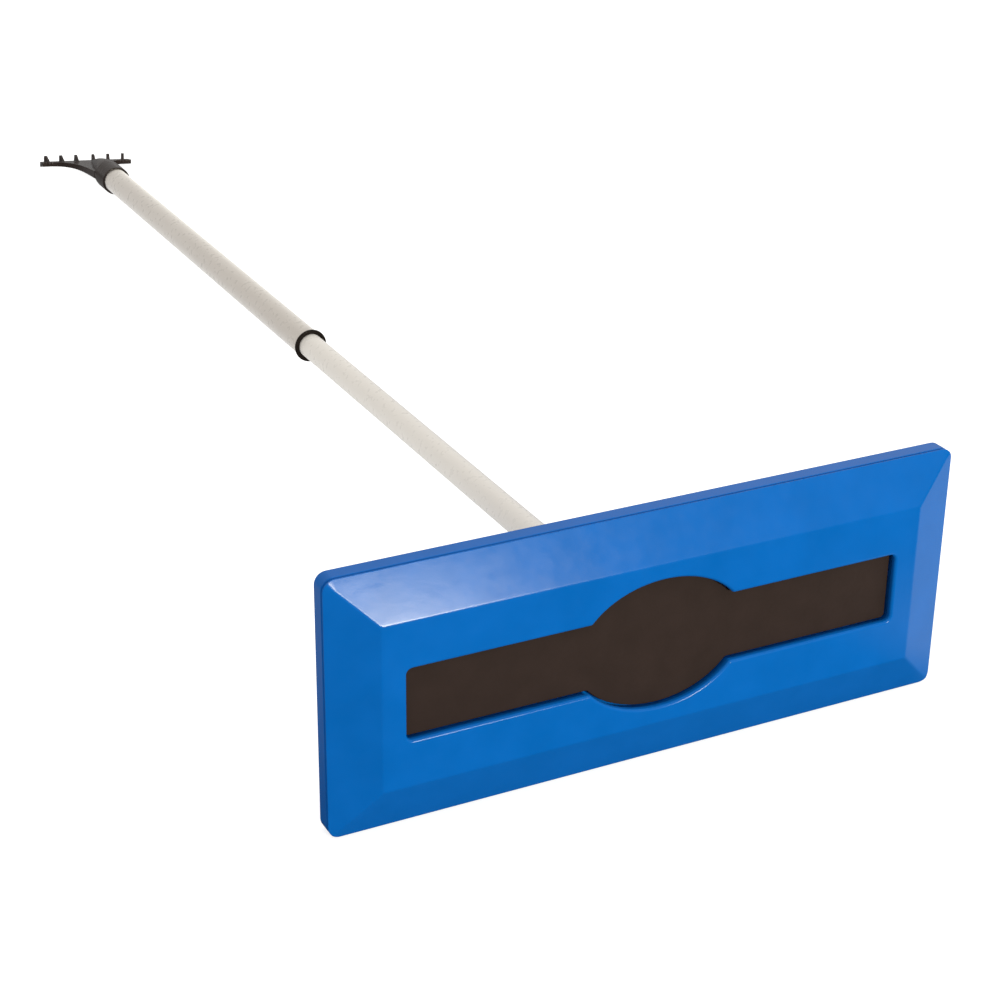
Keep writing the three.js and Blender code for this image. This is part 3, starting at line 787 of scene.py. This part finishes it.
def head_socket():
    """A moulded flange with a tapered socket, four gussets and fillets where they meet."""
    low, high = extent("head_socket")
    front = low.y
    back = front + FLANGE_THICKNESS
    bm = bmesh.new()
    outline = rectangle(high.x, high.z, FLANGE_CORNER)
    walls = [add_ring(bm, outline, front), add_ring(bm, outline, back)]
    bridge(bm, *walls)
    for wall in walls:
        bm.faces.new(wall)
    mouth = SOCKET_MOUTH
    bead = high.y - SOCKET_BEAD
    add_turned(bm, rounded([
        (0, front),
        (SOCKET_ROOT, front),
        (mouth - 0.1, bead - 1, 1),
        (mouth + 0.5, bead, 0.6),
        (mouth + 0.5, high.y, 0.8),
        (0, high.y)]), SMALL_SIDES)
    for quarter in range(4):
        reach = (high.z if quarter % 2 else high.x) - GUSSET_SETBACK
        web = rounded([
            (back - 1, 0),
            (back - 1, reach),
            (back + GUSSET_TOE, reach, 1.5),
            (back + GUSSET_TOE + 6, reach * 0.6 + 5, 14),
            (back + GUSSET_LENGTH, mouth),
            (back + GUSSET_LENGTH, 0)])
        spin = Matrix.Rotation(math.radians(90 - 90 * quarter), 4, "Y") @ ACROSS
        add_prism(bm, web, -GUSSET_THICKNESS / 2, GUSSET_THICKNESS / 2, spin)
    made = to_object("head_socket_moulding", bm)
    soften(made, voxel=0.75, rounds=3, keep=0.3)
    floor = front + SOCKET_FLOOR
    bore = turned("bore", [
        (0, floor), (SOCKET_BORE, floor), (SOCKET_BORE, high.y - 1.0), (SOCKET_BORE + 1.2, high.y + 0.2),
        (SOCKET_BORE + 1.2, high.y + OVERRUN), (0, high.y + OVERRUN)])
    bm = bmesh.new()
    add_turned(bm, rod(BUTTON_RADIUS + GAP, 0, CUTTER_REACH), SMALL_SIDES, BUTTON_STAND)
    for x, z in BOLTS:
        add_turned(bm, rod(SCREW_HOLE, front - 2, back + 2), SMALL_SIDES, Matrix.Translation((x, 0, z)))
    cut(made, bore, to_object("holes", bm))
    finish_piece(made, BLACK, "head", ["head_socket"], sharp=50)
    seat = back + GAP
    for number, (x, z) in enumerate(BOLTS, 1):
        place = TO_ROW @ Matrix.Translation((x, seat, z))
        flat_washer(
            f"washer_{number}", place, WASHER_RADIUS, SCREW_HOLE, WASHER_THICKNESS,
            "head", f"socket_washer_{number}")
        turn = Matrix.Rotation(math.radians(SCREW_TURN * number), 4, "Y")
        place = place @ Matrix.Translation((0, WASHER_THICKNESS + GAP, 0)) @ turn
        pan_screw(
            f"pan_screw_{number}", place, (SCREW_HEAD, SCREW_HEAD_HEIGHT), (SCREW_SHANK, SCREW_PITCH),
            SCREW_LENGTH, "head", f"socket_screw_{number}")


# ---------- Pole ----------


def pipe(name, node, radius, place, body, coat, hole, stand):
    """A drawn tube with rounded lips and one hole through its wall, where the stand is."""
    low, high = extent(node, place)
    inner = radius - TUBE_WALL
    corners = [(inner, low.y, 0.3), (radius, low.y, 0.4), (radius, high.y, 0.4), (inner, high.y, 0.3)]
    made = turned(name, rounded(corners, steps=3), place)
    cut(made, turned("hole", rod(hole, 0, radius + 5), place, SMALL_SIDES, stand))
    return finish_piece(made, coat, body, [node])


def snap_button():
    """A domed steel button with a flange under the tube's wall."""
    foot = BUTTON_FOOT_TOP - BUTTON_FOOT_THICKNESS
    profile = rounded([
        (0, foot),
        (BUTTON_FOOT, foot, 0.2),
        (BUTTON_FOOT, BUTTON_FOOT_TOP, 0.2),
        (BUTTON_RADIUS, BUTTON_FOOT_TOP, 0.2),
        (BUTTON_RADIUS, BUTTON_TOP, 2.2),
        (0, BUTTON_TOP)])
    made = turned("snap_button_dome", profile, TO_ROW, SMALL_SIDES, BUTTON_STAND)
    return finish_piece(made, ZINC, "button", ["snap_button"])


def snap_spring():
    """The bent strip under the button, which gives way as the button is pressed in the real tool; here it is
    drawn at rest and doesn't move.
    """
    low, high = extent("snap_spring")
    strip = SPRING_THICKNESS
    ramp = BUTTON_PLACE - BUTTON_FOOT
    outline = rounded([
        (high.y, low.z),
        (high.y, low.z + strip),
        (low.y + 2 * strip, low.z + strip, 0.4),
        (low.y + 1.6 * strip, low.z + 3 * strip, 0.4),
        (ramp, high.z - strip, 1.0),
        (BUTTON_PLACE + BUTTON_FOOT, high.z - strip),
        (BUTTON_PLACE + BUTTON_FOOT, high.z),
        (ramp - strip / 2, high.z, 1.6),
        (low.y, low.z + 3 * strip, 0.8),
        (low.y, low.z, 0.9)])
    bm = bmesh.new()
    add_prism(bm, outline, low.x, high.x, ACROSS)
    made = finish_piece(to_object("snap_spring_strip", bm), SPRING, "head", ["snap_spring"])
    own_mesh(made)
    return made


# ---------- Twist lock ----------


def lock_plug():
    """A collared plug in the end of the inner tube, with a bore for the stud."""
    low, high = extent("lock_plug")
    collar = high.y - PLUG_COLLAR
    shank = INNER_TUBE - TUBE_WALL - GAP
    made = turned("lock_plug_moulding", rounded([
        (SPINDLE_RADIUS + GAP, low.y, 0.4), (shank, low.y, 0.8), (shank, collar, 0.2), (high.x, collar, 0.2),
        (high.x, high.y, 0.4), (SPINDLE_RADIUS + GAP, high.y, 0.4)]))
    return finish_piece(made, BLACK, "head", ["lock_plug"])


def lock_spindle():
    """A stud with a real two-start thread."""
    low, high = extent("lock_spindle")
    rows = round((high.y - low.y) / THREAD_ROW)
    lead = THREAD_PITCH * THREAD_STARTS
    bm = bmesh.new()
    rings = []
    for row in range(rows + 1):
        y = low.y + (high.y - low.y) * row / rows
        edge = max(0, 1 - min(y - low.y, high.y - y) / THREAD_RUNOUT)
        ring = []
        for side in range(THREAD_SIDES):
            turn = 2 * math.pi * side / THREAD_SIDES
            phase = THREAD_STARTS * (2 * math.pi * y / lead - turn)
            valley = THREAD_DEPTH * (0.5 - 0.5 * math.cos(phase))
            radius = SPINDLE_RADIUS - valley - THREAD_TAPER * edge * edge
            ring.append(bm.verts.new((radius * math.cos(turn), y, radius * math.sin(turn))))
        rings.append(ring)
    loft(bm, rings)
    bm.faces.new(rings[0])
    bm.faces.new(rings[-1])
    made = to_object("threaded_stud", bm)
    return finish_piece(made, ZINC, "head", ["lock_spindle"], sharp=60)


def expander_sleeve():
    """A split nylon collet with ribs outside and a cone inside."""
    low, high = extent("expander_sleeve")
    outside = OUTER_TUBE - TUBE_WALL - SLEEVE_CLEARANCE
    bore = SPINDLE_RADIUS + 2 * GAP
    throat = low.y + SLEEVE_THROAT
    cone_mouth = CONE_START + (high.y - throat) * CONE_SLOPE
    outer = [(outside, low.y, 0.6)]
    step = (high.y - low.y - 2 * SLEEVE_END) / SLEEVE_RIBS
    valley = outside - SLEEVE_RIB_DEPTH
    for rib in range(SLEEVE_RIBS):
        start = low.y + SLEEVE_END + rib * step
        outer += [
            (outside, start + step * 0.55), (valley, start + step * 0.65),
            (valley, start + step * 0.9), (outside, start + step)]
    made = turned("expander_collet", rounded([
        (bore, low.y, 0.3),
        *outer,
        (outside, high.y, 0.6),
        (cone_mouth, high.y, 0.2),
        (CONE_START, throat),
        (bore, low.y + 1)]))
    bm = bmesh.new()
    half = SLEEVE_SLIT / 2
    start, end = low.y - 1, high.y + 1
    add_prism(bm, [(-half, start), (half, start), (half, end), (-half, end)], 0, outside + 1)
    cut(made, to_object("slit", bm))
    return finish_piece(made, NYLON, "lock_sleeve", ["expander_sleeve"])


def cone_nut():
    """The tapered nut on the stud that spreads the sleeve."""
    low, high = extent("cone_nut")
    flange = high.y - CONE_FLANGE
    narrow = CONE_START + (low.y - extent("expander_sleeve")[0].y - SLEEVE_THROAT) * CONE_SLOPE - CONE_PLAY
    wide = high.x - GAP - CONE_PLAY
    made = turned("cone_nut_moulding", rounded([
        (SPINDLE_RADIUS + GAP, low.y, 0.2), (narrow, low.y, 0.2), (wide, flange, 0.1), (high.x, flange, 0.2),
        (high.x, high.y, 0.4), (SPINDLE_RADIUS + GAP, high.y, 0.3)]))
    return finish_piece(made, BLACK, "lock_cone", ["cone_nut"])


def spindle_ends():
    """The washer and the hexagon nut that keep the cone on the stud."""
    low, high = extent("spindle_washer")
    place = TO_ROW @ Matrix.Translation((0, low.y, 0))
    flat_washer("end_washer", place, high.x, SPINDLE_RADIUS + GAP, high.y - low.y, "head", "spindle_washer")
    low, high = extent("spindle_nut")
    flats = high.x  # the nut stands on its corners, so x reaches its flats and z its corners
    slope = (high.z - flats) / NUT_CHAMFER
    up = [low.y + NUT_CHAMFER * share for share in (0, 0.5, 1)]
    down = [high.y - NUT_CHAMFER * share for share in (1, 0.5, 0)]
    bore = SPINDLE_RADIUS + GAP
    bm = bmesh.new()
    rings = []
    for y in up + down + [high.y, low.y]:
        outer = len(rings) < len(up + down)
        reach = flats + min(y - low.y, high.y - y) * slope
        ring = []
        for k in range(NUT_SIDES):
            turn = 2 * math.pi * k / NUT_SIDES
            flat = flats / math.cos((turn + math.radians(30)) % math.radians(60) - math.radians(30))
            radius = min(flat, reach) if outer else bore
            ring.append(bm.verts.new((radius * math.cos(turn), y, radius * math.sin(turn))))
        rings.append(ring)
    loft(bm, rings + rings[:1])
    made = to_object("hexagon_nut", bm)
    return finish_piece(made, ZINC, "head", ["spindle_nut"])


# ---------- Outer pole and scraper ----------


def tube_bushing():
    """A flanged bushing in the mouth of the outer tube."""
    low, high = extent("tube_bushing", TURNED)
    flange_end = low.y + BUSHING_FLANGE
    bore = INNER_TUBE + GAP
    sleeve = OUTER_TUBE - TUBE_WALL - GAP
    made = turned("collar_bushing", rounded([
        (bore, low.y, 0.5), (high.x, low.y, 0.8), (high.x, flange_end, 0.4), (sleeve, flange_end, 0.2),
        (sleeve, high.y, 0.4), (bore, high.y, 0.4)]), TURNED)
    return finish_piece(made, JET, "outer_pole", ["tube_bushing"])


def bezier(start, first, second, end, steps):
    """Points and directions along a cubic curve."""
    corners = [Vector(corner) for corner in (start, first, second, end)]
    run = []
    for k in range(steps + 1):
        t = k / steps
        weights = ((1 - t) ** 3, 3 * t * (1 - t) ** 2, 3 * t * t * (1 - t), t ** 3)
        point = sum((corner * weight for corner, weight in zip(corners, weights)), Vector((0, 0)))
        slopes = (3 * (1 - t) ** 2, 6 * t * (1 - t), 3 * t * t)
        legs = [after - before for before, after in zip(corners, corners[1:])]
        heading = sum((leg * weight for leg, weight in zip(legs, slopes)), Vector((0, 0)))
        run.append((point, heading.normalized()))
    return run


def add_slab(bm, outline, tip, low, high, low_rise):
    """An outline of (x, y) points made solid between two faces that climb from the blade's edge."""
    walls = []
    for level, rise in ((low, low_rise), (high, WEB_RISE)):
        walls.append([bm.verts.new((x, y, BLADE_TOP + level + rise * (tip - y))) for x, y in outline])
    bridge(bm, *walls)
    for wall in walls:
        bm.faces.new(wall)


def scraper():
    """Socket, web, edge ribs, turned-down lip and teeth, moulded in one."""
    low, high = extent("scraper", TURNED)
    tip = high.y
    half = BLADE_WIDTH / 2
    shoulder = tip - BLADE_DEPTH
    run = bezier(
        (SCRAPER_SOCKET, FLARE_START),
        (SCRAPER_SOCKET, FLARE_START + FLARE_HOLD),
        (SCRAPER_SOCKET + FLARE_SPREAD, shoulder + FLARE_TUCK),
        (half, shoulder),
        FLARE_STEPS)
    edge = [tuple(point) for point, _ in run]
    inside = [(point.x - RIB_WIDTH * heading.y, point.y + RIB_WIDTH * heading.x) for point, heading in run]
    lip_start = tip - LIP_DEPTH / 2
    bm = bmesh.new()
    outline = [*edge, (half, lip_start), (-half, lip_start), *[(-x, y) for x, y in reversed(edge)]]
    add_slab(bm, outline, tip, -BLADE_THICKNESS, 0, WEB_RISE)
    for side in (-1, 1):
        rib = [(side * x, y) for x, y in edge] + [(side * x, y) for x, y in reversed(inside)]
        add_slab(bm, rib, tip, -BLADE_THICKNESS - RIB_DROP, RIB_RISE, UNDERSIDE_RISE)
    lip = [
        (tip - LIP_DEPTH, WEB_RISE * LIP_DEPTH), (tip, 0), (tip, -LIP_DROP), (tip - LIP_EDGE, -LIP_DROP),
        (tip - LIP_DEPTH, -BLADE_THICKNESS)]
    add_prism(bm, [(y, z + BLADE_TOP) for y, z in lip], -half, half, ACROSS)
    shares = [k / NOSE_STEPS for k in range(1, NOSE_STEPS)]
    nose = [
        (SCRAPER_SOCKET * (1 - share ** NOSE_FULLNESS), NOSE_START + share * NOSE_LENGTH) for share in shares
    ]
    mouth = rounded([(SCRAPER_SOCKET - 2, low.y), (SCRAPER_SOCKET, low.y, 0.7), (SCRAPER_SOCKET, NOSE_START)])
    socket = bmesh.new()
    add_turned(socket, [(0, low.y), *mouth, *nose, (0, NOSE_START + NOSE_LENGTH)])
    for vertex in socket.verts:
        vertex.co.x *= 1 - NOSE_NARROWING * max(0, (vertex.co.y - NOSE_START) / NOSE_LENGTH)
    shell = bpy.data.meshes.new("socket")
    socket.to_mesh(shell)
    socket.free()
    bm.from_mesh(shell)
    bpy.data.meshes.remove(shell)
    for index in range(TOOTH_COUNT):
        step = index - (TOOTH_COUNT - 1) / 2
        place = step * TOOTH_PITCH + math.copysign(TOOTH_MIDDLE_PITCH - TOOTH_PITCH, step) / 2
        fin = rounded([
            (0, -BLADE_THICKNESS / 2),
            (0, TOOTH_HEIGHT, 1.2),
            (-2.2, TOOTH_HEIGHT, 1.0),
            (-TOOTH_LENGTH, RIB_RISE),
            (-TOOTH_LENGTH, -BLADE_THICKNESS / 2)])
        stand = Matrix.Translation((place + TOOTH_OFFSET, tip - TOOTH_SETBACK, BLADE_TOP))
        stand = stand @ Matrix.Rotation(math.radians(-TOOTH_FAN * place), 4, "Z") @ ACROSS
        add_prism(bm, fin, -TOOTH_THICKNESS / 2, TOOTH_THICKNESS / 2, stand)
    made = to_object("scraper_moulding", bm, TURNED)
    soften(made, voxel=0.55, rounds=2, keep=0.3)
    end = extent("outer_tube", TURNED)[1].y + GAP
    bore = OUTER_TUBE + GAP
    flared = bore + 0.6
    start = low.y - OVERRUN
    cutter = turned("bore", [
        (0, start), (flared, start), (flared, low.y), (bore, low.y + 0.7), (bore, end), (0, end)], TURNED)
    hole = turned("hole", rod(PILOT_RADIUS, 0, CUTTER_REACH), TURNED, SMALL_SIDES, SCRAPER_SCREW_STAND)
    cut(made, cutter, hole)
    return finish_piece(made, BLACK, "outer_pole", ["scraper"], sharp=50)


foam_head()
stiffener_plate()
head_socket()
pipe("inner_pole", "inner_tube", INNER_TUBE, TO_ROW, "head", INNER_COAT, BUTTON_RADIUS + GAP, BUTTON_STAND)
snap_button()
snap_spring()
lock_plug()
lock_spindle()
expander_sleeve()
cone_nut()
spindle_ends()
pipe("outer_pole_tube", "outer_tube", OUTER_TUBE, TURNED, "outer_pole", OUTER_COAT, PILOT_RADIUS,
     SCRAPER_SCREW_STAND)
tube_bushing()
scraper()
pan_screw("scraper_pan_screw",
          TURNED @ Matrix.Translation((0, SCRAPER_SCREW_PLACE, -SCRAPER_SOCKET - GAP)) @ DOWNWARD,
          (SCRAPER_SCREW_HEAD, SCRAPER_SCREW_HEIGHT), (SCREW_SHANK, SCREW_PITCH), SCRAPER_SCREW_LENGTH,
          "outer_pole", "scraper_screw")

# ---------- Camera, floor and light ----------

CAMERA_PLACE = Vector((-650.582, -1034.534, 667.392))  # in the tool's frame
CAMERA_AZIMUTH = 27.2076  # from the pole's direction towards the head's right
CAMERA_ELEVATION = -24.9737
CAMERA_ROLL = 0.7087
CAMERA_LENS = 77.9303
CAMERA_SENSOR = 36.0
CAMERA_NEAR = 0.01


def add_camera():
    """The camera of the picture, placed in the tool's frame."""
    azimuth, elevation, roll = (
        math.radians(angle) for angle in (CAMERA_AZIMUTH, CAMERA_ELEVATION, CAMERA_ROLL)
    )
    forward = Vector((
        math.sin(azimuth) * math.cos(elevation),
        math.cos(azimuth) * math.cos(elevation),
        math.sin(elevation)))
    level = forward.cross(Vector((0, 0, 1))).normalized()
    upright = level.cross(forward)
    right = level * math.cos(roll) + upright * math.sin(roll)
    top = right.cross(forward)
    data = bpy.data.cameras.new("camera")
    data.lens = CAMERA_LENS
    data.sensor_width = CAMERA_SENSOR
    data.clip_start = CAMERA_NEAR
    camera = add_object("camera", data)
    turn = Matrix((right, top, -forward)).transposed().to_4x4()
    turn.translation = CAMERA_PLACE * MM
    camera.matrix_world = TOOL @ turn
    bpy.context.scene.camera = camera


def blend(tree, share, first, second):
    """A value that goes from one value to another, each a socket or a number, as share goes from 0 to 1."""
    mix = tree.nodes.new("ShaderNodeMix")
    tree.links.new(share, mix.inputs["Factor"])
    for name, value in (("A", first), ("B", second)):
        if isinstance(value, (int, float)):
            mix.inputs[name].default_value = value
        else:
            tree.links.new(value, mix.inputs[name])
    return mix.outputs["Result"]


def calculate(tree, operation, first, second):
    """What a sum or a product of two values comes to."""
    node = tree.nodes.new("ShaderNodeMath")
    node.operation = operation
    tree.links.new(first, node.inputs[0])
    tree.links.new(second, node.inputs[1])
    return node.outputs["Value"]


def ray_kind(tree, name):
    """Tells which kind of ray is looking: from the camera, a reflection or soft light."""
    return tree.nodes.new("ShaderNodeLightPath").outputs[name]


def add_floor():
    """A white floor that shows only the shadows close to the tool. Reflections see its front dimmer."""
    bm = bmesh.new()
    corners = ((-1, -1), (1, -1), (1, 1), (-1, 1))
    bm.faces.new([bm.verts.new((x * FLOOR_HALF, y * FLOOR_HALF, 0)) for x, y in corners])
    mesh = bpy.data.meshes.new("floor")
    bm.to_mesh(mesh)
    bm.free()
    floor = add_object("floor", mesh)
    material, tree, shader, _ = new_material(
        "floor", [FLOOR_GREY] * 3, 1.0, Specular_IOR_Level=0.0, Emission_Color=(1, 1, 1, 1))
    position = tree.nodes.new("ShaderNodeSeparateXYZ")
    tree.links.new(tree.nodes.new("ShaderNodeNewGeometry").outputs["Position"], position.inputs["Vector"])
    bounce = spread(tree, position.outputs["Y"], *FLOOR_BOUNCE, *FLOOR_BACK)
    seen = spread(tree, position.outputs["Y"], *FLOOR_GLOW, *FLOOR_BACK)
    glow = blend(tree, ray_kind(tree, "Is Camera Ray"), bounce, seen)
    plug(tree, shader, Emission_Strength=glow)
    dark = tree.nodes.new("ShaderNodeEmission")
    right = spread(tree, position.outputs["X"], *FLOOR_REFLECTION, *FLOOR_RIGHT)
    beside = blend(tree, spread(tree, position.outputs["Y"], 0, 1, *FLOOR_NEAR), FLOOR_REFLECTION[0], right)
    back = spread(tree, position.outputs["Y"], 0, 1, *FLOOR_BACK)
    sheen = blend(tree, back, beside, FLOOR_BACK_REFLECTION)
    tree.links.new(sheen, dark.inputs["Strength"])
    mix = tree.nodes.new("ShaderNodeMixShader")
    tree.links.new(ray_kind(tree, "Is Glossy Ray"), mix.inputs["Fac"])
    tree.links.new(shader.outputs["BSDF"], mix.inputs[1])
    tree.links.new(dark.outputs["Emission"], mix.inputs[2])
    tree.links.new(mix.outputs["Shader"], tree.nodes["Material Output"].inputs["Surface"])
    mesh.materials.append(material)


def add_softbox(name, place, aim, width, height, radiance, color):
    """A soft rectangular light at a place in the row frame, turned towards a point."""
    data = bpy.data.lights.new(name, "AREA")
    data.shape = "RECTANGLE"
    data.size = width
    data.size_y = height
    data.energy = radiance * math.pi * width * height
    data.color = color
    light = add_object(name, data)
    light.location = place
    light.rotation_euler = (Vector(aim) - Vector(place)).to_track_quat("-Z", "Y").to_euler()


def add_world():
    """White behind the tool, and a studio round it that reflections see dimmer in front and low behind it."""
    world = bpy.data.worlds.new("studio")
    bpy.context.scene.world = world
    world.use_nodes = True
    tree = world.node_tree
    background = tree.nodes["Background"]
    background.inputs["Color"].default_value = (*STUDIO_COLOR, 1)
    direction = tree.nodes.new("ShaderNodeTexCoord").outputs["Generated"]
    parts = tree.nodes.new("ShaderNodeSeparateXYZ")
    tree.links.new(direction, parts.inputs["Vector"])
    total = None
    for axis, start, end, low, high in STUDIO:
        share = spread(tree, parts.outputs[axis], low, high, start, end)
        total = calculate(tree, "ADD", total, share) if total else share
    front = spread(tree, parts.outputs["Y"], *FRONT_REFLECTION)
    dimmed = calculate(tree, "MULTIPLY", total, front)
    raised = spread(tree, parts.outputs["Z"], *BACK_REFLECTION)
    behind = blend(tree, spread(tree, parts.outputs["Y"], 0, 1, *BACK_REACH), 1.0, raised)
    seen = calculate(tree, "MULTIPLY", dimmed, behind)
    lit = blend(tree, ray_kind(tree, "Is Glossy Ray"), total, seen)
    strength = blend(tree, ray_kind(tree, "Is Camera Ray"), lit, 1.0)
    tree.links.new(strength, background.inputs["Strength"])


FLOOR_HALF = 12.0
FLOOR_GREY = 0.4
FLOOR_BACK = (-0.58, -0.42)  # where the floor goes from the dimmer front to the brighter back, in metres
FLOOR_GLOW = (0.76, 0.95)  # what the camera sees, in front and at the back
FLOOR_BOUNCE = (0.06, 0.9)  # what soft light gets from it
FLOOR_RIGHT = (0.22, 0.28)  # where the floor beside the head gets brighter, in metres
FLOOR_NEAR = (-0.84, -0.74)  # and how far in front of the head that reaches
FLOOR_REFLECTION = (0.05, 0.9)  # what reflections get from its front, on the left and on the right
FLOOR_BACK_REFLECTION = 0.25

STUDIO_COLOR = (1, 0.985, 0.965)
# Radiance of the studio by direction: an axis, where the change starts and ends, and from what to what.
STUDIO = [
    ("Z", 0.05, 0.45, 0.08, 0.88),
    ("X", -0.1, 0.8, 0.0, 0.35),
    ("Y", -0.1, -0.8, 0.0, 0.22),
    ("Y", 0.75, 0.92, 0.0, 0.6),
]
FRONT_REFLECTION = (0.3, 1.0, -0.5, 0.2)  # reflections see the front of the studio dimmer than its back
BACK_REFLECTION = (1.0, 0.4, 0.03, 0.16)  # and at the back only the horizon is bright
BACK_REACH = (0.72, 0.88)  # how squarely behind the tool that is

SOFTBOX_PLACE = (0.62, -2.99, 0.62)  # in metres
SOFTBOX_SIZE = (0.5, 0.3)
SOFTBOX_RADIANCE = 98
SOFTBOX_COLOR = (1, 0.95, 0.78)

add_camera()
add_floor()
add_world()
head_place = TOOL @ Vector((0, 0, 0))
add_softbox("front_softbox", SOFTBOX_PLACE, head_place, *SOFTBOX_SIZE, SOFTBOX_RADIANCE, SOFTBOX_COLOR)
bpy.context.scene.view_settings.view_transform = "Standard"
